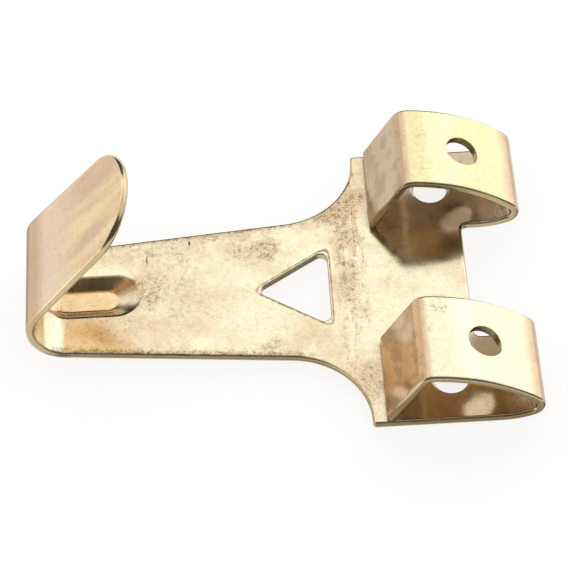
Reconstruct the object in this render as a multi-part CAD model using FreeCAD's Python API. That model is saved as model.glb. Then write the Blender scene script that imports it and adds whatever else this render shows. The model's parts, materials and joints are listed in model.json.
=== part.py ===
"""Two-nail picture hook, stamped and folded from one piece of sheet metal.

The hook stands as it hangs: +Z up, the wall at Y = 0 and the front towards -Y.
The origin is on the wall, on the centreline, level with the nail holes of the back plate.
Places are worked out as (across, depth, height): depth is the distance in front of the wall.
"""

import FreeCAD, Part
import math
import os

# Sheet
SHEET = 0.65

# Back plate, with an ear on each side that carries a nail loop
HALF_WIDTH = 12.85
EAR_Z = -6.0
EAR_FLAT = 0.42
EAR_ROUND = 0.25
STRIP_WIDTH = 7.5
NOTCH_Z = 2.1
NOTCH_FILLET = 0.5
PLATE_HOLE_R = 1.3

# Strap, from the ears down to the bend
BEND_Z = -28.1
STRAP_HALF = 4.97
STRAP_TAPER = math.radians(5.0)

# Triangular window, point down
WINDOW_TOP_Z = -8.42
WINDOW_POINT_Z = -14.05
WINDOW_HALF = 3.65
WINDOW_ROUND = 0.55

# Nail loops: each strip rises off the wall, curls over, comes down in front and ends in a slanted leg
RISE_Z = 3.4
LOOP_TOP_Z = 6.55
CURL_INNER_R = 0.55
CURL_LIFT = 0.42
FRONT_DEPTH = 5.9
FRONT_LOW_Z = -1.5
FRONT_LEAN = math.radians(5.0)
CORNER_INNER_R = 0.65
LEG_ANGLE = math.radians(61.0)
LEG_GAP = 0.1
FRONT_HOLE_Z = 2.4
FRONT_HOLE_R = 1.3

# Bend at the foot and the lip that carries the wire
BEND_INNER_R = 2.4
LIP_ANGLE = math.radians(52.0)
LIP_LENGTH = 11.93
LIP_TAPER = 0.054
LIP_TIP_LENGTH = 3.53
LIP_TIP_HALF = 4.41

# Stiffening rib above the bend: a groove in front, a bead behind, pressed a little off centre
RIB_X = -0.3
RIB_LENGTH = 5.5
RIB_HALF = 1.9
RIB_FLOOR_HALF = 0.95
RIB_DEPTH = 0.7
RIB_RAMP = 1.85
RIB_ROUND = 0.7

# Where the rib runs out in the bend: how far its axis lies off the bend's, and its turn in degrees
RIB_FADE = 0.78
RIB_TURN = 100.0

# Turn below which two faces count as running smoothly into each other
SMOOTH_TURN = math.radians(10.0)

# How far a cutting solid reaches past the face that it cuts
REACH = 0.3

ACROSS = FreeCAD.Vector(1, 0, 0)
UP = FreeCAD.Vector(0, 0, 1)
FORWARD = FreeCAD.Vector(0, -1, 0)
ORIGIN = FreeCAD.Vector(0, 0, 0)


def at(across, depth, height):
    """The point at this place across, distance in front of the wall and height."""
    return FreeCAD.Vector(across, -depth, height)


def closed_face(edges):
    """A flat face inside a ring of edges given in any order."""
    return Part.Face(Part.Wire(Part.__sortEdges__(edges)))


def polygon_face(points):
    """A flat face with straight sides."""
    return Part.Face(Part.makePolygon(points + points[:1]))


class Bend:
    """One arc of a folded strip's section: its centre as (height, depth), outer radius and angles."""

    def __init__(self, centre, radius, start, end):
        self.centre = centre
        self.radius = radius
        self.start = start
        self.end = end

    def point(self, angle, inset=0.0):
        """A point on the arc, or inside it by the inset, as (height, depth)."""
        radius = self.radius - inset
        return (
            self.centre[0] + radius * math.cos(angle),
            self.centre[1] + radius * math.sin(angle),
        )


def folded_strip(bends, end_run, left, right):
    """A strip of sheet that follows the bends, ends in a straight run and spans left to right."""

    def place(point):
        return at(left, point[1], point[0])

    def chain(inset):
        last = bends[-1].point(bends[-1].end, inset)
        tip = (last[0] + end_run[0], last[1] + end_run[1])
        edges = []
        for bend in bends:
            angles = (bend.start, (bend.start + bend.end) / 2, bend.end)
            edges.append(Part.Arc(*[place(bend.point(a, inset)) for a in angles]).toShape())
        edges.append(Part.makeLine(place(last), place(tip)))
        return edges, place(bends[0].point(bends[0].start, inset)), place(tip)

    outer, outer_start, outer_tip = chain(0.0)
    inner, inner_start, inner_tip = chain(SHEET)
    caps = [Part.makeLine(outer_start, inner_start), Part.makeLine(outer_tip, inner_tip)]
    return closed_face(outer + inner + caps).extrude(ACROSS * (right - left))


def flare():
    """Centre as (across, height) and radius of the arc between the strap's edge and an ear."""
    centre_x = HALF_WIDTH - EAR_FLAT
    edge_at_ear = STRAP_HALF + math.tan(STRAP_TAPER) * (EAR_Z - BEND_Z)
    radius = (centre_x - edge_at_ear) / (1 / math.cos(STRAP_TAPER) - math.tan(STRAP_TAPER))
    return (centre_x, EAR_Z - radius), radius


def half_plate():
    """The flat half of the blank on the +X side: strap, flare, ear and the root of its strip."""
    (flare_x, flare_z), radius = flare()
    inner_x = HALF_WIDTH - STRIP_WIDTH
    notch_side_z = NOTCH_Z + NOTCH_FILLET

    def flat(across, height):
        return at(across, 0, height)

    def arc(centre, size, start, end):
        angles = (start, (start + end) / 2, end)
        points = [flat(centre[0] + size * math.cos(a), centre[1] + size * math.sin(a)) for a in angles]
        return Part.Arc(*points).toShape()

    quarter = math.pi / 2
    arcs = [
        arc((flare_x, flare_z), radius, math.pi - STRAP_TAPER, quarter),
        arc((HALF_WIDTH - EAR_ROUND, EAR_Z + EAR_ROUND), EAR_ROUND, -quarter, 0.0),
        arc((inner_x - NOTCH_FILLET, notch_side_z), NOTCH_FILLET, 0.0, -quarter),
    ]
    ends = [(edge.Vertexes[0].Point, edge.Vertexes[-1].Point) for edge in arcs]
    lines = [
        (flat(0, NOTCH_Z), flat(0, BEND_Z)),
        (flat(0, BEND_Z), flat(STRAP_HALF, BEND_Z)),
        (flat(STRAP_HALF, BEND_Z), ends[0][0]),
        (ends[0][1], ends[1][0]),
        (ends[1][1], flat(HALF_WIDTH, RISE_Z)),
        (flat(HALF_WIDTH, RISE_Z), flat(inner_x, RISE_Z)),
        (flat(inner_x, RISE_Z), ends[2][0]),
        (ends[2][1], flat(0, NOTCH_Z)),
    ]
    outline = arcs + [Part.makeLine(a, b) for a, b in lines]
    return closed_face(outline).extrude(FORWARD * SHEET)


def loop_bends():
    """The arcs of a nail loop's section: rise from the plate, curl, bowed front and corner."""
    curl_r = CURL_INNER_R + SHEET
    curl = (LOOP_TOP_Z - curl_r, CURL_LIFT + curl_r)

    run = curl[0] - RISE_Z
    rise_r = (run**2 + curl[1] ** 2 - curl_r**2) / (2 * CURL_LIFT)
    rise = (RISE_Z, rise_r)
    rise_end = math.atan2(curl[1] - rise[1], curl[0] - rise[0])

    face = (math.sin(FRONT_LEAN), math.cos(FRONT_LEAN))
    top = (FRONT_LOW_Z - curl[0], FRONT_DEPTH - curl[1])
    reach = top[0] * face[0] + top[1] * face[1] - curl_r
    front_r = (top[0] ** 2 + top[1] ** 2 - curl_r**2) / (2 * reach)
    front = (FRONT_LOW_Z - front_r * face[0], FRONT_DEPTH - front_r * face[1])
    curl_end = math.atan2(curl[1] - front[1], curl[0] - front[0])

    corner_r = CORNER_INNER_R + SHEET
    corner = (FRONT_LOW_Z - corner_r * face[0], FRONT_DEPTH - corner_r * face[1])
    front_end = math.pi / 2 - FRONT_LEAN
    return [
        Bend(rise, rise_r, -math.pi / 2, rise_end),
        Bend(curl, curl_r, rise_end, curl_end),
        Bend(front, front_r, curl_end, front_end),
        Bend(corner, corner_r, front_end, math.pi / 2 + LEG_ANGLE),
    ]


def nail_loop():
    """The loop on the +X side, with the hole in its front face."""
    bends = loop_bends()
    front, corner = bends[2], bends[3]
    leg_start = corner.point(corner.end, SHEET)
    leg = (leg_start[1] - SHEET - LEG_GAP) / math.sin(LEG_ANGLE)
    leg_run = (-leg * math.cos(LEG_ANGLE), -leg * math.sin(LEG_ANGLE))
    loop = folded_strip(bends, leg_run, HALF_WIDTH - STRIP_WIDTH, HALF_WIDTH)

    hole_angle = math.acos((FRONT_HOLE_Z - front.centre[0]) / front.radius)
    inside = front.point(hole_angle, SHEET + REACH)
    outside = front.point(hole_angle, -REACH)
    hole_x = HALF_WIDTH - STRIP_WIDTH / 2
    start = at(hole_x, inside[1], inside[0])
    axis = at(hole_x, outside[1], outside[0]) - start
    return loop.cut(Part.makeCylinder(FRONT_HOLE_R, axis.Length, start, axis))


def plate_hole():
    """The cutter for the nail hole in the back plate on the +X side."""
    start = at(HALF_WIDTH - STRIP_WIDTH / 2, -REACH, 0)
    return Part.makeCylinder(PLATE_HOLE_R, SHEET + 2 * REACH, start, FORWARD)


def window():
    """The cutter for the triangular window, with rounded corners."""
    corners = [(0, WINDOW_POINT_Z), (WINDOW_HALF, WINDOW_TOP_Z), (-WINDOW_HALF, WINDOW_TOP_Z)]
    face = polygon_face([at(x, -REACH, z) for x, z in corners])
    prism = face.extrude(FORWARD * (SHEET + 2 * REACH))
    upright = [e for e in prism.Edges if abs(e.tangentAt(e.FirstParameter).dot(FORWARD)) > 0.99]
    return prism.makeFillet(WINDOW_ROUND, upright)


def lip():
    """The bend at the foot and the tongue-shaped lip that rises from it."""
    outer_r = BEND_INNER_R + SHEET
    bend = Bend((BEND_Z, outer_r), outer_r, -math.pi / 2, LIP_ANGLE - 1.5 * math.pi)
    along = (math.cos(LIP_ANGLE), math.sin(LIP_ANGLE))
    run = (LIP_LENGTH * along[0], LIP_LENGTH * along[1])
    strip = folded_strip([bend], run, -STRAP_HALF, STRAP_HALF)

    root = bend.point(bend.end)
    top_depth = root[1] + run[1] + SHEET
    top_half = STRAP_HALF - LIP_TAPER * (top_depth - SHEET)
    sides = [(STRAP_HALF, 0), (STRAP_HALF, SHEET), (top_half, top_depth)]
    section = [at(x, d, 0) for x, d in sides] + [at(-x, d, 0) for x, d in reversed(sides)]
    lowest = BEND_Z - outer_r - REACH
    height = root[0] + run[0] + SHEET - lowest
    trim = polygon_face(section)
    trim.translate(UP * lowest)
    strip = strip.common(trim.extrude(UP * height))
    return strip.cut(tip_cutter(root, along))


def tip_cutter(root, along):
    """What is taken off the lip's end, square to the sheet, to leave a half-oval tip."""
    direction = at(0, along[1], along[0])
    normal = at(0, along[0], -along[1])
    shoulder = LIP_LENGTH - LIP_TIP_LENGTH
    centre = at(0, root[1], root[0]) + direction * shoulder - normal * (SHEET + REACH)
    through = normal * (SHEET + 2 * REACH)
    side = ACROSS * (STRAP_HALF + REACH)
    end = direction * (LIP_TIP_LENGTH + REACH)
    block = polygon_face([centre - side, centre + side, centre + side + end, centre - side + end])
    oval = Part.Ellipse(
        centre + ACROSS * LIP_TIP_HALF,
        centre + direction * LIP_TIP_LENGTH,
        centre,
    )
    oval_face = Part.Face(Part.Wire([oval.toShape()]))
    return block.extrude(through).cut(oval_face.extrude(through))


def rib_form(front):
    """The rib's pressed form below a sheet face at this depth: a straight run and its end in the bend."""
    rib_top = BEND_Z + RIB_LENGTH
    spread = REACH / RIB_DEPTH
    mouth_half = RIB_HALF + spread * (RIB_HALF - RIB_FLOOR_HALF)
    floor = (front - RIB_DEPTH, RIB_FLOOR_HALF, rib_top - RIB_RAMP)
    mouth = (front + REACH, mouth_half, rib_top + spread * RIB_RAMP)

    def outline(depth, half, top):
        left, right = at(RIB_X - half, depth, BEND_Z), at(RIB_X + half, depth, BEND_Z)
        left_top, right_top = left + UP * (top - half - BEND_Z), right + UP * (top - half - BEND_Z)
        end = Part.Arc(left_top, at(RIB_X, depth, top), right_top).toShape()
        sides = [(right_top, right), (right, left), (left, left_top)]
        return Part.Wire([end] + [Part.makeLine(a, b) for a, b in sides])

    straight = Part.makeLoft([outline(*floor), outline(*mouth)], True, True)
    corners = [(-floor[1], floor[0]), (floor[1], floor[0]), (mouth[1], mouth[0]), (-mouth[1], mouth[0])]
    section = polygon_face([at(RIB_X + x, d, BEND_Z) for x, d in corners])
    axis_depth = BEND_INNER_R + SHEET - RIB_FADE
    curved = section.revolve(at(0, axis_depth, BEND_Z), ACROSS, -RIB_TURN)
    return straight, curved


def rib():
    """The rib as the bead to add behind the sheet and the groove to cut from its front."""
    groove = rib_form(SHEET)
    bead = rib_form(0.0)
    middle_r = BEND_INNER_R + SHEET / 2
    start = at(-STRAP_HALF, BEND_INNER_R + SHEET, BEND_Z)
    throat = Part.makeCylinder(middle_r, 2 * STRAP_HALF, start, ACROSS)
    return bead[0].fuse(bead[1].cut(throat)), groove[0].fuse(groove[1])


def turn_at(body, edge):
    """The angle by which a face of the body turns into the next one at an edge."""
    middle = edge.valueAt((edge.FirstParameter + edge.LastParameter) / 2)
    faces = body.ancestorsOfType(edge, Part.Face)
    normals = [face.normalAt(*face.Surface.parameter(middle)) for face in faces]
    return normals[0].getAngle(normals[-1])


def rib_creases(body):
    """The edges along the rib's walls, in front and behind, up to where it runs out in the bend."""
    creases = []
    for edge in body.Edges:
        box = edge.BoundBox
        beside = max(abs(box.XMin - RIB_X), abs(box.XMax - RIB_X)) > RIB_HALF + REACH
        above = box.ZMax > BEND_Z + RIB_LENGTH + REACH
        crosswise = max(box.YLength, box.ZLength) < REACH
        if not (beside or above or crosswise) and turn_at(body, edge) > SMOOTH_TURN:
            creases.append(edge)
    return creases


def picture_hook():
    """The whole hook as one folded solid."""
    side = half_plate().fuse(nail_loop()).cut(plate_hole())
    body = side.fuse(side.mirror(ORIGIN, ACROSS)).fuse(lip()).removeSplitter()
    bead, groove = rib()
    body = body.fuse(bead).cut(groove)
    body = body.makeFillet(RIB_ROUND, rib_creases(body))
    return body.cut(window()).removeSplitter()


hook = picture_hook()
if hook.ShapeType != "Solid":
    hook = hook.Solids[0]
os.makedirs("parts", exist_ok=True)
hook.exportStep("parts/picture_hook.step")
box = hook.BoundBox
print("solids", len(hook.Solids), "valid", hook.isValid(), "volume", round(hook.Volume, 2))
print("box", [round(v, 3) for v in (box.XMin, box.XMax, box.YMin, box.YMax, box.ZMin, box.ZMax)])
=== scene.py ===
"""Looks of a brass-plated picture hook: stained plating, sheared edges, soft studio light.

Lengths are metres in the frame of the CAD model: +Z up as the hook hangs, the wall at Y = 0, front -Y.
Inside the materials, positions are taken in millimetres.
"""

import json
import math
import bpy
from mathutils import Matrix, Vector
from mathutils.bvhtree import BVHTree


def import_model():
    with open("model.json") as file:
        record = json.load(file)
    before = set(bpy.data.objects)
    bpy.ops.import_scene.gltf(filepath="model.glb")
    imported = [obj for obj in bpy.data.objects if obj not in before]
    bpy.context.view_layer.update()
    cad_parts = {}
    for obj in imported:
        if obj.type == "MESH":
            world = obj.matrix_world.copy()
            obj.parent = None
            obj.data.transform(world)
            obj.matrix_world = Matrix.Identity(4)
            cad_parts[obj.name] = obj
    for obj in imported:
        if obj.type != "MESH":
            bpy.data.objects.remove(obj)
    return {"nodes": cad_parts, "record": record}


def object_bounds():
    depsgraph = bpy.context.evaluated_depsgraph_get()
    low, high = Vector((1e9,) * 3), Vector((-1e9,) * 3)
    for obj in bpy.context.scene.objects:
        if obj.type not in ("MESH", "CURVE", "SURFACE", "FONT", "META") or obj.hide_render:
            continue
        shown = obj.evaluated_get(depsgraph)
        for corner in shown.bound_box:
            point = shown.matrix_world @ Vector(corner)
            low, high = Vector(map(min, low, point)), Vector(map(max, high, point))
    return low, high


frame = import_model()
cad_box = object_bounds()
hook = frame["nodes"]["picture_hook"]

MM = 0.001
SHEET = 0.65 * MM

# Camera: the point it aims at, where it stands, how it is rolled and what it sees
AIM = Vector((-0.00044, -0.0007, -0.01183))
CAMERA_AZIMUTH = math.radians(37.937)
CAMERA_ELEVATION = math.radians(-0.757)
CAMERA_ROLL = math.radians(86.798)
CAMERA_DISTANCE = 0.196
NEAREST = 0.01
FARTHEST = 10.0
LENS_MM = 163.71
SENSOR_MM = 36.0

# Sheared edges: the least metal behind a facet of one, where that is measured from, the smallest facet
EDGE_DEPTH = 1.5 * SHEET
BELOW_SURFACE = 0.01 * MM
EDGE_FACET = 0.002 * MM * MM

# Decimals of a millimetre by which points are told apart, and the material slots of faces and sheared edges
KEY_DIGITS = 3
FACE_SLOT = 0
EDGE_SLOT = 1

# Rounding of the sheared edges, and the tidying of the facets before it
EDGE_ROUND = 0.24 * MM
EDGE_SEGMENTS = 5
WELD_LIMIT = 0.03 * MM
FLAT_LIMIT = math.radians(1.0)

# Nail holes: where they are, how far from their axis their rims lie, and their share of the edge rounding
HOLES = [
    {"at": Vector(mount["pos_m"]), "along": Vector(mount["axis"])}
    for mount in frame["record"]["mounts"]
    if mount["kind"] == "bore"
]
HOLE_REACH = 1.5 * MM
HOLE_SHARE = 0.3

# Window, in millimetres: its point, its top side, half its width, its rounding and the margin round its rim
WINDOW_POINT_Z = -14.05
WINDOW_TOP_Z = -8.42
WINDOW_HALF = 3.65
WINDOW_SOFT = 1.5
WINDOW_MARGIN = 0.1
WINDOW_LEAN = math.atan2(WINDOW_HALF, WINDOW_TOP_Z - WINDOW_POINT_Z)

# The window's share of the edge rounding, and that of every other outline
WINDOW_SHARE = 0.55
OUTLINE_SHARE = 1.0

# Half width of the strap in millimetres: at height 0, and its growth with height
STRAP_EDGE_X = 7.43
STRAP_SLOPE = 0.0875

# Direction in which the lip rises
LIP_ALONG = (0.0, -0.788, 0.616)

# Colours of the plating
PALE = (0.80, 0.73, 0.515, 1)
FACE = (0.76, 0.665, 0.365, 1)
MID = (0.69, 0.55, 0.35, 1)
WARM = (0.57, 0.39, 0.23, 1)
BROWN = (0.22, 0.14, 0.08, 1)
DIRT = (0.14, 0.085, 0.05, 1)
# The next three colours are partly painted shade: tarnish where ambient occlusion finds metal round a
# point, and darker plating inside the loops
TARNISH_AND_SHADE = (0.52, 0.41, 0.30, 1)
LOOP_FAR = (0.48, 0.38, 0.27, 1)
LOOP_NEAR = (0.54, 0.38, 0.19, 1)
LEG_GOLD = (0.74, 0.45, 0.23, 1)
LIP_ROSE = (0.69, 0.48, 0.31, 1)
LIP_GOLD = (0.86, 0.67, 0.37, 1)
LIP_PINK = (0.84, 0.64, 0.49, 1)
GROOVE_GOLD = (0.75, 0.54, 0.29, 1)
SHEARED = (0.56, 0.44, 0.24, 1)
NICK = (0.05, 0.04, 0.03, 1)

# Noises of the plating: features per millimetre, detail, roughness and distortion
BROAD = (0.16, 2.0, 0.5)
MOTTLE = (0.6, 4.0, 0.6)
GRAIN = (2.6, 3.0, 0.7)
SPECK = (6.5, 3.0, 0.8)
SCUFF = (0.9, 4.0, 0.65)
STREAK = (0.5, 4.0, 0.5, 0.8)
WANDER = (0.9, 3.0)
NOISE_MIDDLE = (0.5, 0.5, 0.5)

# How far the outlines of stains wander, in millimetres, and how scuffs and the lip's streaks are drawn out
WANDER_REACH = 2.4
SCUFF_DRAWN = (0.35, 1.0, 2.2)
STREAK_DRAWN = 0.2

# Borders that several zones share: a direction, and the millimetres along it between which a zone fades in
PLATE_FRONT = [("depth", 0.2, 0.5), ("depth", 1.2, 0.8)]
LOOP_FRONT = [("depth", 2.5, 3.5)]
RIB_SIDES = [("outward", 2.4, 1.9)]

# Zones of the sheet, each with its borders
ZONES = {
    "front": PLATE_FRONT,
    "near": [("across", -4.0, 4.0)],
    "top": [("height", 5.2, 6.2)],
    "face": LOOP_FRONT + [("height", -2.2, -1.6)],
    "corner": LOOP_FRONT + [("height", -1.6, -2.1), ("height", -3.4, -2.6)],
    "leg": [("depth", 0.7, 1.0), ("height", -2.1, -2.6), ("height", -7.0, -6.0)],
    "inside": PLATE_FRONT + [("height", -4.0, -2.8), ("outward", 6.0, 7.2)],
    "below_legs": [("height", -8.4, -7.2), ("height", -5.2, -6.0)],
    "strap": [("height", -9.0, -12.0)],
    "rib": RIB_SIDES + [("height", -22.6, -23.6)],
    "groove": RIB_SIDES + [("depth", 0.45, 0.15), ("height", -23.5, -25.5)],
    "bend": [("height", -29.3, -30.4)],
    "lip": [("depth", 2.0, 4.5), ("height", -18.0, -20.0)],
}

# Soft steps: the values between which each changes, then what it changes from and to if not from 0 to 1
TONE_PALE = (0.37, 0.58)
TONE_SMOOTH = (0.40, 0.60)
SCUFF_NOISE = (0.40, 0.58)
SCUFF_ACROSS = (0.0, 3.0, 1.0, 0.5)
WORN_NOISE = (0.25, 0.6, 0.45, 1.0)
FOOT_HEIGHT = (-2.6, -4.6, 0.75, 1.0)
STREAK_NOISE = (0.36, 0.64)
PINK_HEIGHT = (-26.0, -29.0, 0.0, 0.7)
BEND_DEPTH = (2.5, 4.0, 0.3, 0.9)
RIM_REACH = (0.9, 0.1)
GROOVE_NOISE = (0.3, 0.6, 0.6, 1.0)
HOLLOW_OPEN = (0.85, 0.55)
HOLLOW_HEIGHT = (-12.0, -7.0, 0.2, 1.0)
LEG_NOISE = (0.54, 0.40, 0.0, 0.4)
BLOTCH_NOISE = (0.46, 0.68)
DOT_NOISE = (0.50, 0.72)
PIT_NOISE = (0.54, 0.66)
PIT_SPREAD = (0.3, 0.9, 0.0, 0.8)
MARKED_SMOOTH = (0.0, 0.6, 1.0, 0.2)
SPREAD_SMOOTH = (0.5, 0.0, 0.0, 0.65)
LINE_INNER = (0.09, 0.14)
LINE_OUTER = (0.28, 0.19, 0.0, 0.9)
LINE_NOISE = (0.35, 0.6, 0.4, 1.0)
BORDER_REACH = (0.5, 0.3, 0.0, 0.5)
ROUGH_NOISE = (0.3, 0.7)

# Shares in which colours and masks are laid over what lies under them
CLEAN_SHARE = 0.95
FACE_SHARE = 0.85
STAIN_SHARE = 0.65
RUBBED_SHARE = 0.9
INSIDE_LIFT = 0.5
SHADE_SPREAD = 0.45
CALM_SHARE = 0.85
SMOOTH_SHARE = 0.92
SHEARED_SHARE = 0.75

# Blotches and dots: how many there are on clean plating, and how many more in a stain
BLOTCH_LEAST = 0.16
BLOTCH_MORE = 0.55
DOT_LEAST = 0.36
DOT_MORE = 0.64

# Hollows: how far a point looks round for metal that shades it, and how often
HOLLOW_REACH = 6 * MM
HOLLOW_LOOKS = 8

# Roughness of faces and sheared edges, what stains and the rib add, and how much glossier the lip's edge is
FACE_ROUGH = (0.12, 0.20)
EDGE_ROUGH = (0.34, 0.46)
STAIN_ROUGH = 0.06
RIB_ROUGH = 0.06
LIP_GLOSS = 0.2

# Relief of the plating: the grain's share in it, its strength and its depth
GRAIN_RELIEF = 0.3
RELIEF_STRENGTH = 0.35
RELIEF_DEPTH = 0.03 * MM

# Share of a soft spot's half size within which it has its full strength
SPOT_CORE = 0.25

# Marks on the plate's front, in millimetres: middle across and up, half size across and up, strength
STAINS = [
    (-4.0, -13.3, 1.5, 1.9, 1.0),
    (-3.8, -14.4, 1.8, 2.8, 0.55),
    (-4.7, -6.6, 1.6, 1.0, 0.9),
    (-1.2, -6.6, 2.6, 0.8, 0.7),
    (-0.5, -22.0, 2.6, 1.8, 0.8),
    (5.3, -13.0, 0.9, 1.5, 0.6),
    (2.4, -6.0, 1.0, 1.0, 0.5),
    (-0.5, -20.5, 4.5, 4.0, 0.35),
    (-4.2, -21.0, 1.8, 4.0, 0.5),
    (-7.2, -7.6, 1.8, 2.0, 1.0),
    (-8.6, -6.0, 1.6, 2.0, 1.0),
    (-5.6, -18.0, 0.8, 8.0, 0.6),
    (5.9, -16.0, 0.6, 6.0, 0.5),
    (9.0, -5.7, 2.6, 1.3, 0.75),
    (3.0, -0.6, 1.8, 1.6, 0.5),
    (3.2, -25.0, 1.8, 3.4, 0.32),
]
CLEAN_PATCHES = [
    (2.6, -14.0, 4.2, 5.0, 1.0),
    (-1.5, -15.2, 2.4, 2.4, 0.9),
    (-3.0, -9.4, 2.0, 2.4, 0.9),
    (2.5, -5.0, 4.0, 4.4, 0.9),
    (1.5, 0.2, 5.0, 3.2, 0.35),
]
# Brown spots under the loops and by the notch: partly dull plating, partly a painted dark reflection of the
# loops
DULL_SPOTS_AND_PAINTED_REFLECTION = [
    (-6.0, 1.7, 2.4, 2.4, 0.93),
    (6.5, 2.9, 2.4, 2.4, 0.85),
    (-3.8, 1.2, 2.0, 1.6, 0.65),
]
NICKS = [
    (-4.95, -18.9, 0.35, 0.12, 1.0),
    (-3.5, -22.2, 0.7, 0.09, 0.8),
]

# Marks on the loops' faces, in the same form
FACE_STAINS = [
    (6.4, -0.9, 1.0, 0.9, 0.8),
    (-10.0, -0.6, 1.6, 1.2, 0.4),
    (-7.0, -0.2, 1.2, 1.4, 0.35),
    (8.0, -1.6, 1.6, 0.5, 0.5),
]

# Wall behind the hook: its gap, half its size, its paint, its glow and the rays that miss it
WALL_GAP = 0.05 * MM
WALL_HALF = 0.5
WALL_PAINT = (0.25, 0.25, 0.25, 1)
WALL_GLOW = 0.8
WALL_HIDDEN_FROM = ("glossy", "diffuse", "shadow", "transmission")

# White studio round the hook: its light on surfaces, and its brightness where it is seen
STUDIO_WHITE = (1, 1, 1, 1)
STUDIO_LIGHT = 0.75
STUDIO_SEEN = 1.0

# Soft lamps: name, direction from the hook, distance, width, height and radiance
LAMPS = [
    ("softbox_far", (-0.62, -0.70, 0.0), 0.5, 0.5, 0.7, 0.36),
    ("softbox_left", (0.496, 0.104, -0.863), 0.45, 0.25, 0.25, 0.4),
    ("softbox_right", (-0.62, -0.33, 0.72), 0.48, 0.35, 0.45, 0.55),
]

# Cards that only the metal reflects: name, direction from the hook, distance, width, height and colour
DARK = (0.10, 0.10, 0.11, 1)
BLACK = (0.02, 0.018, 0.015, 1)
TABLE_SHADOW_GREY = (0.55, 0.50, 0.46, 1)
CARDS = [
    ("flag_near", (0.80, -0.58, 0.0), 0.4, 0.6, 1.0, DARK),
    # Painted shadow: the next two cards stand for the table in the hook's shade, seen only in reflections
    ("table_shadow_under", (0.276, 0.789, 0.548), 0.3, 0.24, 0.24, DARK),
    ("table_shadow_left", (-0.615, 0.715, -0.333), 0.3, 0.2, 0.2, TABLE_SHADOW_GREY),
    ("low_far", (-0.951, -0.309, 0.0), 0.45, 0.33, 0.46, BLACK),
    ("low_near_right", (0.58, -0.22, 0.78), 0.45, 0.25, 0.6, DARK),
]
CARD_HIDDEN_FROM = ("camera", "diffuse", "shadow", "transmission")

# The only face of a flat piece with four corners
ONE_FACE = [(0, 1, 2, 3)]

# Dark strip of the wall beside the near outline, in millimetres: points across and up, and its width there
NEAR_OUTLINE = [(5.35, -29.5), (5.45, -28.1), (7.05, -9.5), (8.7, -7.7), (13.3, -6.4), (13.3, 6.5)]
SHADOW_REACH = [1.6, 1.6, 1.6, 2.3, 5.5, 5.5]
SHADOW = (0.36, 0.32, 0.27, 1)


def facing(azimuth, elevation):
    """The unit vector from the object towards a place at this azimuth and elevation."""
    flat = math.cos(elevation)
    return Vector((math.sin(azimuth) * flat, -math.cos(azimuth) * flat, math.sin(elevation)))


def add_object(name, data):
    """A new object in the scene."""
    made = bpy.data.objects.new(name, data)
    bpy.context.scene.collection.objects.link(made)
    return made


def place_camera():
    """The camera at the photograph's viewpoint."""
    back = facing(CAMERA_AZIMUTH, CAMERA_ELEVATION)
    level = Vector((math.cos(CAMERA_AZIMUTH), math.sin(CAMERA_AZIMUTH), 0.0))
    upright = back.cross(level)
    right = level * math.cos(CAMERA_ROLL) + upright * math.sin(CAMERA_ROLL)
    up = back.cross(right)
    lens = bpy.data.cameras.new("camera")
    lens.lens = LENS_MM
    lens.sensor_width = SENSOR_MM
    lens.clip_start = NEAREST
    lens.clip_end = FARTHEST
    camera = add_object("camera", lens)
    place = AIM + back * CAMERA_DISTANCE
    camera.matrix_world = Matrix.Translation(place) @ Matrix((right, up, back)).transposed().to_4x4()
    bpy.context.scene.camera = camera


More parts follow.
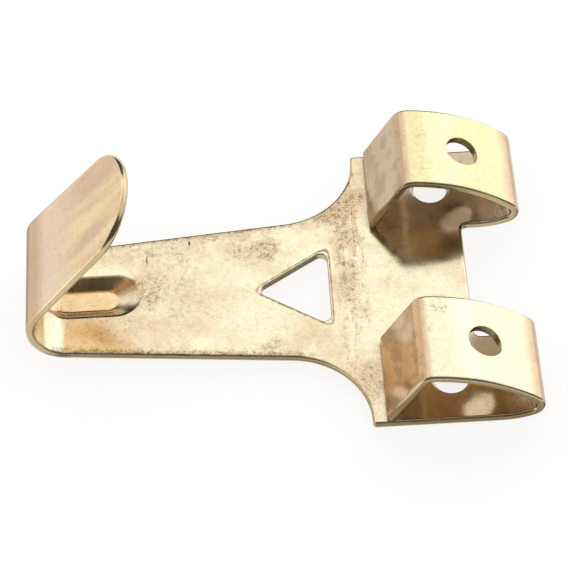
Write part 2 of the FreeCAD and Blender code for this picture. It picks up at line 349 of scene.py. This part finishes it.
class Nodes:
    """Builds the node tree of a material or a world."""

    def __init__(self, owner):
        owner.use_nodes = True
        self.owner = owner
        self.tree = owner.node_tree
        self.tree.nodes.clear()

    def node(self, kind, inputs=None, **settings):
        """A new node with its settings, and its inputs set to values or linked to sockets."""
        made = self.tree.nodes.new(kind)
        for key, value in settings.items():
            setattr(made, key, value)
        for key, value in (inputs or {}).items():
            self.feed(made.inputs[key], value)
        return made

    def feed(self, socket, value):
        """Sets or links one input."""
        if isinstance(value, bpy.types.NodeSocket):
            self.tree.links.new(value, socket)
        else:
            socket.default_value = value

    def math(self, operation, *values):
        """The result of a number operation."""
        return self.node("ShaderNodeMath", dict(enumerate(values)), operation=operation).outputs[0]

    def over(self, operation, values):
        """The result of a number operation over two or more values."""
        result = values[0]
        for value in values[1:]:
            result = self.math(operation, result, value)
        return result

    def product(self, *values):
        """The product of masks and shares."""
        return self.over("MULTIPLY", values)

    def most(self, *values):
        """The largest of several masks."""
        return self.over("MAXIMUM", values)

    def without(self, mask):
        """Everything outside a mask."""
        return self.math("SUBTRACT", 1.0, mask)

    def line(self, value, slope, start):
        """A value times a slope, added to a start."""
        return self.math("MULTIPLY_ADD", value, slope, start)

    def vector(self, operation, *values, output="Vector"):
        """The result of a vector operation."""
        inputs = dict(enumerate(values))
        return self.node("ShaderNodeVectorMath", inputs, operation=operation).outputs[output]

    def scaled(self, vector, factor):
        """A vector times a number."""
        inputs = {0: vector, "Scale": factor}
        return self.node("ShaderNodeVectorMath", inputs, operation="SCALE").outputs["Vector"]

    def ramp(self, value, low, high, to_low=0.0, to_high=1.0):
        """A smooth step of value from low to high."""
        inputs = {"Value": value, "From Min": low, "From Max": high, "To Min": to_low, "To Max": to_high}
        return self.node("ShaderNodeMapRange", inputs, interpolation_type="SMOOTHSTEP").outputs["Result"]

    def noise(self, place, scale, detail, roughness=0.5, distortion=0.0, output="Fac"):
        """Noise from 0 to 1, with features of about 1 / scale."""
        inputs = {
            "Vector": place,
            "Scale": scale,
            "Detail": detail,
            "Roughness": roughness,
            "Distortion": distortion,
        }
        return self.node("ShaderNodeTexNoise", inputs).outputs[output]

    def mix(self, share, first, second):
        """Two colours mixed by a share."""
        made = self.node("ShaderNodeMix", data_type="RGBA")
        for name, value in (("Factor_Float", share), ("A_Color", first), ("B_Color", second)):
            socket = next(s for s in made.inputs if s.identifier == name)
            self.feed(socket, value)
        return next(s for s in made.outputs if s.identifier == "Result_Color")

    def finish(self, surface):
        """The material, with the surface shader linked to its output."""
        self.node("ShaderNodeOutputMaterial", {"Surface": surface})
        return self.owner


class Plating(Nodes):
    """The hook's brass plating, coloured by where a point lies on the sheet."""

    def __init__(self, name):
        super().__init__(bpy.data.materials.new(name))
        self.place = self.scaled(self.node("ShaderNodeTexCoord").outputs["Object"], 1.0 / MM)
        axes = self.node("ShaderNodeSeparateXYZ", {0: self.place}).outputs
        self.across = axes["X"]
        self.outward = self.math("ABSOLUTE", self.across)
        self.depth = self.product(axes["Y"], -1.0)
        self.height = axes["Z"]
        self.zone = {key: self.fading_in(borders) for key, borders in ZONES.items()}
        self.mottle = self.noise(self.place, *MOTTLE)
        self.grain = self.noise(self.place, *GRAIN)
        self.speck = self.noise(self.place, *SPECK)
        both = self.math("ADD", self.noise(self.place, *BROAD), self.mottle)
        self.tone = self.math("DIVIDE", both, 2)
        wander = self.noise(self.place, *WANDER, output="Color")
        wander = self.scaled(self.vector("SUBTRACT", wander, NOISE_MIDDLE), WANDER_REACH)
        self.loose = self.vector("ADD", self.place, wander)
        strap_edge = self.line(self.height, STRAP_SLOPE, STRAP_EDGE_X)
        self.from_edge = self.math("SUBTRACT", strap_edge, self.outward)
        stained = self.most(self.spots(self.loose, STAINS), self.scuffs())
        self.stain = self.product(stained, self.zone["front"])
        self.marks = self.product(self.spots(self.loose, FACE_STAINS), self.zone["face"])
        self.shade = self.hollows()
        self.spread = self.speckled()

    def fading_in(self, borders):
        """The mask of a zone of the sheet."""
        return self.product(*[self.ramp(getattr(self, way), out, full) for way, out, full in borders])

    def spots(self, place, marks):
        """Soft spots: each has its strength in the middle, and 0 outside its half sizes."""
        masks = []
        for x, z, half_x, half_z, strength in marks:
            away = self.vector("SUBTRACT", place, (x, 0, z))
            away = self.vector("MULTIPLY", away, (1 / half_x, 0, 1 / half_z))
            distance = self.vector("LENGTH", away, output="Value")
            masks.append(self.ramp(distance, 1.0, SPOT_CORE, 0.0, strength))
        return self.most(*masks)

    def scuffs(self):
        """Scuffs across the plate below the loops' legs, weaker on the near side."""
        drawn = self.vector("MULTIPLY", self.place, SCUFF_DRAWN)
        scuff = self.ramp(self.noise(drawn, *SCUFF), *SCUFF_NOISE)
        return self.product(scuff, self.zone["below_legs"], self.ramp(self.across, *SCUFF_ACROSS))

    def hollows(self):
        """Painted shade and tarnish in recesses with metal round them, less on the strap and on the plate
        inside the loops.
        """
        inputs = {"Distance": HOLLOW_REACH}
        around = self.node("ShaderNodeAmbientOcclusion", inputs, samples=HOLLOW_LOOKS, only_local=True)
        shade = self.ramp(around.outputs["AO"], *HOLLOW_OPEN)
        lifted = self.without(self.product(self.zone["inside"], INSIDE_LIFT))
        return self.product(shade, self.ramp(self.height, *HOLLOW_HEIGHT), lifted)

    def speckled(self):
        """Where specks are thick: in stains and hollows, and along the strap's edges."""
        rim = self.product(self.ramp(self.from_edge, *RIM_REACH), self.zone["strap"], self.zone["front"])
        return self.most(self.stain, self.marks, rim, self.product(self.shade, SHADE_SPREAD))

    def smooth(self):
        """Where specks are few: on the lip and the loops, and on pale plating."""
        zone = self.zone
        calm = self.product(self.most(zone["face"], zone["top"], zone["inside"]), CALM_SHARE)
        smooth = self.product(self.most(zone["lip"], zone["leg"], calm), SMOOTH_SHARE)
        smooth = self.product(smooth, self.ramp(self.marks, *MARKED_SMOOTH))
        pale = self.product(self.ramp(self.tone, *TONE_SMOOTH), self.ramp(self.spread, *SPREAD_SMOOTH))
        return self.most(smooth, pale)

    def from_window(self):
        """The distance from the window's outline in millimetres, below 0 inside it."""
        rise = self.product(self.math("SUBTRACT", self.height, WINDOW_POINT_Z), math.sin(WINDOW_LEAN))
        reach = self.product(self.across, math.cos(WINDOW_LEAN))
        right = self.math("SUBTRACT", reach, rise)
        left = self.math("SUBTRACT", self.product(reach, -1.0), rise)
        sides = self.math("SMOOTH_MAX", left, right, WINDOW_SOFT)
        return self.math("SMOOTH_MAX", sides, self.math("SUBTRACT", self.height, WINDOW_TOP_Z), WINDOW_SOFT)

    def clean_metal(self):
        """Mottled brass, paler in the clean patches and plainer on the loops' faces."""
        clean = self.product(self.spots(self.loose, CLEAN_PATCHES), self.zone["front"])
        colour = self.mix(self.ramp(self.tone, *TONE_PALE), MID, PALE)
        colour = self.mix(self.product(clean, CLEAN_SHARE), colour, PALE)
        face_tone = self.mix(self.zone["near"], FACE, PALE)
        return self.mix(self.product(self.zone["face"], FACE_SHARE), colour, face_tone)

    def with_wear(self, colour):
        """Warm metal in the stains and on the loops' tops, corners and legs."""
        leg = self.zone["leg"]
        foot = self.product(leg, self.ramp(self.height, *FOOT_HEIGHT))
        rubbed = self.most(self.zone["top"], foot, self.zone["corner"])
        worn = self.most(self.product(self.stain, STAIN_SHARE), self.product(rubbed, RUBBED_SHARE))
        worn = self.product(worn, self.ramp(self.mottle, *WORN_NOISE))
        worn_tone = self.mix(self.product(leg, self.zone["near"]), WARM, LEG_GOLD)
        return self.mix(worn, colour, worn_tone)

    def with_lip(self, colour):
        """Rosy and golden streaks along the lip, pinker towards the bend, and warm metal on the bend."""
        along = self.vector("DOT_PRODUCT", self.place, LIP_ALONG, output="Value")
        inputs = {"X": self.across, "Y": self.product(along, STREAK_DRAWN)}
        streak = self.noise(self.node("ShaderNodeCombineXYZ", inputs).outputs[0], *STREAK)
        lip_tone = self.mix(self.ramp(streak, *STREAK_NOISE), LIP_ROSE, LIP_GOLD)
        lip_tone = self.mix(self.ramp(self.height, *PINK_HEIGHT), lip_tone, LIP_PINK)
        colour = self.mix(self.zone["lip"], colour, lip_tone)
        bend = self.product(self.zone["bend"], self.ramp(self.depth, *BEND_DEPTH))
        return self.mix(bend, colour, WARM)

    def with_recesses(self, colour):
        """Golden metal in the rib's groove, darker metal inside the loops that is partly painted shade, and
        tarnish with painted shade in the hollows.
        """
        groove = self.product(self.zone["groove"], self.ramp(self.mottle, *GROOVE_NOISE))
        colour = self.mix(groove, colour, GROOVE_GOLD)
        loop_tone = self.mix(self.zone["near"], LOOP_FAR, LOOP_NEAR)
        colour = self.mix(self.zone["inside"], colour, loop_tone)
        # Painted shade with tarnish: ambient occlusion pulls the hollows towards the tarnish colour
        return self.mix(self.shade, colour, TARNISH_AND_SHADE)

    def with_specks(self, colour):
        """Brown patches on the legs, and blotches, dots and pits that are thicker in the stains."""
        patches = self.product(self.ramp(self.mottle, *LEG_NOISE), self.zone["leg"])
        colour = self.mix(patches, colour, BROWN)
        thick = self.line(self.spread, BLOTCH_MORE, BLOTCH_LEAST)
        colour = self.mix(self.product(self.ramp(self.grain, *BLOTCH_NOISE), thick), colour, BROWN)
        dotted = self.without(self.smooth())
        thick = self.line(self.spread, DOT_MORE, DOT_LEAST)
        colour = self.mix(self.product(self.ramp(self.speck, *DOT_NOISE), thick, dotted), colour, BROWN)
        thick = self.ramp(self.spread, *PIT_SPREAD)
        return self.mix(self.product(self.ramp(self.speck, *PIT_NOISE), thick, dotted), colour, DIRT)

    def with_dirt_and_painted_shade(self, colour):
        """Painted shade beside the window's rim, a dirt line along the strap's edges, brown spots that are
        partly a painted reflection, and scratches.
        """
        front = self.zone["front"]
        off_window = self.from_window()
        # Painted shade: a brown line just outside the window's rolled rim, broken up by grain
        outline = self.product(self.ramp(off_window, *LINE_INNER), self.ramp(off_window, *LINE_OUTER))
        border = self.product(self.ramp(self.from_edge, *BORDER_REACH), self.zone["strap"])
        lines = self.product(self.most(outline, border), front, self.ramp(self.grain, *LINE_NOISE))
        colour = self.mix(lines, colour, BROWN)
        # Brown spots that are partly a painted reflection of the loops
        colour = self.mix(self.product(self.spots(self.place, DULL_SPOTS_AND_PAINTED_REFLECTION), front), colour, BROWN)
        return self.mix(self.product(self.spots(self.place, NICKS), front), colour, NICK)

    def roughness(self, limits):
        """Roughness between two limits, with more on stains and on the rib."""
        rough = self.ramp(self.mottle, *ROUGH_NOISE, *limits)
        rough = self.line(self.stain, STAIN_ROUGH, rough)
        return self.line(self.zone["rib"], RIB_ROUGH, rough)

    def metal(self, colour, rough):
        """The finished material."""
        relief = self.line(self.grain, GRAIN_RELIEF, self.mottle)
        inputs = {"Strength": RELIEF_STRENGTH, "Distance": RELIEF_DEPTH, "Height": relief}
        normal = self.node("ShaderNodeBump", inputs).outputs["Normal"]
        inputs = {"Base Color": colour, "Metallic": 1.0, "Roughness": rough, "Normal": normal}
        return self.finish(self.node("ShaderNodeBsdfPrincipled", inputs).outputs["BSDF"])

    def colour(self):
        """The colour of the plating with all its marks."""
        colour = self.clean_metal()
        for layer in (self.with_wear, self.with_lip, self.with_recesses, self.with_specks, self.with_dirt_and_painted_shade):
            colour = layer(colour)
        return colour


def face_material():
    """The plating of the sheet's faces."""
    plating = Plating("brass_plating")
    return plating.metal(plating.colour(), plating.roughness(FACE_ROUGH))


def edge_material():
    """The plainer, duller metal of the sheared edges, glossier round the lip."""
    plating = Plating("sheared_edge")
    colour = plating.mix(SHEARED_SHARE, plating.colour(), SHEARED)
    rough = plating.line(plating.zone["lip"], -LIP_GLOSS, plating.roughness(EDGE_ROUGH))
    return plating.metal(colour, rough)


def line_key(mesh, ends):
    """The two end points of a line, to a thousandth of a millimetre and in either order."""
    return frozenset(tuple(round(c / MM, KEY_DIGITS) for c in mesh.vertices[i].co) for i in ends)


def edge_share(mesh, line):
    """The share of the edge rounding that a line gets: all of it on the outline, less on punched holes."""
    middle = sum((mesh.vertices[i].co for i in line.vertices), Vector()) / 2
    for hole in HOLES:
        away = middle - hole["at"]
        along = away.dot(hole["along"])
        from_axis = (away - hole["along"] * along).length
        if from_axis < HOLE_REACH and abs(along) < SHEET:
            return HOLE_SHARE
    height = middle.z / MM
    beside = WINDOW_POINT_Z - WINDOW_MARGIN < height < WINDOW_TOP_Z + WINDOW_MARGIN
    return WINDOW_SHARE if beside and abs(middle.x / MM) < WINDOW_HALF else OUTLINE_SHARE


def mark_edges(mesh):
    """Sorts the facets into sheet faces and sheet edges, and marks the lines where the two meet."""
    tree = BVHTree.FromPolygons([v.co for v in mesh.vertices], [tuple(f.vertices) for f in mesh.polygons])
    meetings = {}
    for facet in mesh.polygons:
        inward = -facet.normal
        *_, behind = tree.ray_cast(facet.center + inward * BELOW_SURFACE, inward)
        is_edge = (behind or 0.0) > EDGE_DEPTH and facet.area > EDGE_FACET
        facet.material_index = EDGE_SLOT if is_edge else FACE_SLOT
        facet.use_smooth = True
        for ends in facet.edge_keys:
            meetings.setdefault(line_key(mesh, ends), set()).add(facet.material_index)
    weights = mesh.attributes.new("bevel_weight_edge", "FLOAT", "EDGE")
    for line, weight in zip(mesh.edges, weights.data):
        both_meet = len(meetings[line_key(mesh, line.vertices)]) == 2
        weight.value = edge_share(mesh, line) if both_meet else 0.0


def dress_hook():
    """Gives the sheet its plating and its sheared edges, and rounds the edges a little."""
    mesh = hook.data
    mesh.materials.clear()
    mesh.materials.append(face_material())
    mesh.materials.append(edge_material())
    mark_edges(mesh)
    weld = hook.modifiers.new("weld", "WELD")
    weld.merge_threshold = WELD_LIMIT
    flat = hook.modifiers.new("flat_faces", "DECIMATE")
    flat.decimate_type = "DISSOLVE"
    flat.angle_limit = FLAT_LIMIT
    flat.delimit = {"MATERIAL"}
    bevel = hook.modifiers.new("edge_round", "BEVEL")
    bevel.width = EDGE_ROUND
    bevel.segments = EDGE_SEGMENTS
    bevel.limit_method = "WEIGHT"
    bevel.use_clamp_overlap = False
    hook.modifiers.new("normals", "WEIGHTED_NORMAL")


def turned_to_hook(direction, distance):
    """The place of something flat that faces the hook from a direction."""
    direction = Vector(direction).normalized()
    turn = direction.to_track_quat("Z", "Y").to_matrix().to_4x4()
    return Matrix.Translation(AIM + direction * distance) @ turn


def stage_sheet(name, corners, faces, material, hidden_from, place=Matrix.Identity(4)):
    """A flat piece of the studio, hidden from some kinds of rays."""
    mesh = bpy.data.meshes.new(name)
    mesh.from_pydata(corners, [], faces)
    mesh.materials.append(material)
    made = add_object(name, mesh)
    made.matrix_world = place
    for ray in hidden_from:
        setattr(made, "visible_" + ray, False)


def glowing(name, colour):
    """A material of one plain colour that needs no light."""
    nodes = Nodes(bpy.data.materials.new(name))
    return nodes.finish(nodes.node("ShaderNodeEmission", {"Color": colour}).outputs[0])


def card(name, direction, distance, width, height, colour):
    """A plain studio card that only shows in reflections, square to the line from the hook."""
    x, y = width / 2, height / 2
    corners = [(-x, -y, 0), (x, -y, 0), (x, y, 0), (-x, y, 0)]
    place = turned_to_hook(direction, distance)
    stage_sheet(name, corners, ONE_FACE, glowing(name, colour), CARD_HIDDEN_FROM, place)


def contact_shadow():
    """The dark strip of the wall along the hook's near outline, which mostly its sheared edges reflect."""
    name = "contact_shadow"
    y = cad_box[1].y + WALL_GAP / 2
    inner = [(x * MM, y, z * MM) for x, z in NEAR_OUTLINE]
    outer = [(x + reach * MM, y, z) for (x, y, z), reach in zip(inner, SHADOW_REACH)]
    count = len(inner)
    strips = [(i, i + 1, count + i + 1, count + i) for i in range(count - 1)]
    stage_sheet(name, inner + outer, strips, glowing(name, SHADOW), CARD_HIDDEN_FROM)


def softbox(name, direction, distance, width, height, radiance):
    """A soft lamp facing the hook."""
    lamp = bpy.data.lights.new(name, "AREA")
    lamp.shape = "RECTANGLE"
    lamp.size = width
    lamp.size_y = height
    lamp.energy = radiance * math.pi * width * height
    made = add_object(name, lamp)
    made.matrix_world = turned_to_hook(direction, distance)
    made.visible_camera = False


def wall_material():
    """Pale paint with a glow, clear from behind."""
    nodes = Nodes(bpy.data.materials.new("wall"))
    paint = nodes.node("ShaderNodeBsdfDiffuse", {"Color": WALL_PAINT})
    glow = nodes.node("ShaderNodeEmission", {"Strength": WALL_GLOW})
    paint = nodes.node("ShaderNodeAddShader", {0: paint.outputs[0], 1: glow.outputs[0]})
    clear = nodes.node("ShaderNodeBsdfTransparent")
    behind = nodes.node("ShaderNodeNewGeometry").outputs["Backfacing"]
    surface = nodes.node("ShaderNodeMixShader", {0: behind, 1: paint.outputs[0], 2: clear.outputs[0]})
    return nodes.finish(surface.outputs[0])


def wall():
    """The pale wall behind the hook, which shows from the front only and keeps the shadow."""
    y = cad_box[1].y + WALL_GAP
    sides = [(1, -1), (1, 1), (-1, 1), (-1, -1)]
    corners = [(x * WALL_HALF, y, z * WALL_HALF) for x, z in sides]
    stage_sheet("wall", corners, ONE_FACE, wall_material(), WALL_HIDDEN_FROM)


def world():
    """A white studio: white to the camera and in reflections, plain soft light elsewhere."""
    studio = bpy.data.worlds.new("studio")
    bpy.context.scene.world = studio
    nodes = Nodes(studio)
    ray = nodes.node("ShaderNodeLightPath").outputs
    seen = nodes.most(ray["Is Camera Ray"], ray["Is Glossy Ray"], ray["Is Transmission Ray"])
    strength = nodes.ramp(seen, 0.0, 1.0, STUDIO_LIGHT, STUDIO_SEEN)
    background = nodes.node("ShaderNodeBackground", {"Color": STUDIO_WHITE, "Strength": strength})
    nodes.node("ShaderNodeOutputWorld", {"Surface": background.outputs[0]})


bpy.context.scene.view_settings.view_transform = "Standard"
place_camera()
dress_hook()
wall()
world()
for lamp in LAMPS:
    softbox(*lamp)
for flag in CARDS:
    card(*flag)
contact_shadow()
